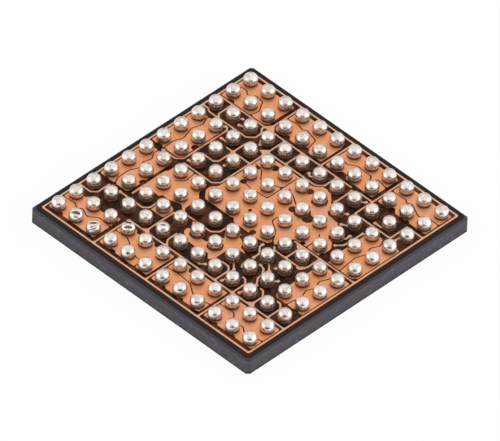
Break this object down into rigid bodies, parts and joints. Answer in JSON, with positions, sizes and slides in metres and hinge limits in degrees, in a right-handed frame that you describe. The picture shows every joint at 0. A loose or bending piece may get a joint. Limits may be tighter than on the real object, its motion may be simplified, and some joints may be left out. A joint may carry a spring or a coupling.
{
  "type": "bga chip",
  "caption": "Wafer-level ball grid chip: a bare silicon body with a patterned copper layer and a full square grid of solder balls.",
  "frame": {"origin": "middle of the back face, on the plane that the chip lies on with its balls up", "axes": "+Z out of the ball side, +X along the ball columns from 1 to 12, +Y from row M to row A"},
  "size_m": [0.005, 0.005, 0.0005],
  "materials": {
    "silicon": "sawn, dark purple grey",
    "film": "matt black film",
    "dielectric": "thin glossy dark brown polymer",
    "copper": "plated copper, satin, with pink patches",
    "solder": "reflowed bright solder"
  },
  "bodies": {
    "root": {"backside_film": "film", "copper_ground_grid": "copper", "copper_lands_row_c": "copper", "copper_lands_row_d": "copper", "copper_lands_row_e": "copper", "copper_lands_row_f": "copper", "copper_lands_row_g": "copper", "copper_lands_row_h": "copper", "copper_lands_row_j": "copper", "copper_lands_row_k": "copper", "copper_plane_bottom_1": "copper", "copper_plane_bottom_2": "copper", "copper_plane_bottom_3": "copper", "copper_plane_bottom_4": "copper", "copper_plane_centre": "copper", "copper_plane_inner_left": "copper", "copper_plane_left_1": "copper", "copper_plane_left_2": "copper", "copper_plane_lower_centre": "copper", "copper_plane_lower_left": "copper", "copper_plane_right_1": "copper", "copper_plane_right_2": "copper", "copper_plane_top_1": "copper", "copper_plane_top_2": "copper", "copper_plane_top_3": "copper", "copper_plane_top_4": "copper", "copper_traces": "copper", "dielectric_layer": "dielectric", "silicon_die": "silicon", "solder_balls_row_a": "solder", "solder_balls_row_b": "solder", "solder_balls_row_c": "solder", "solder_balls_row_d": "solder", "solder_balls_row_e": "solder", "solder_balls_row_f": "solder", "solder_balls_row_g": "solder", "solder_balls_row_h": "solder", "solder_balls_row_j": "solder", "solder_balls_row_k": "solder", "solder_balls_row_l": "solder", "solder_balls_row_m": "solder"}
  },
  "joints": []
}
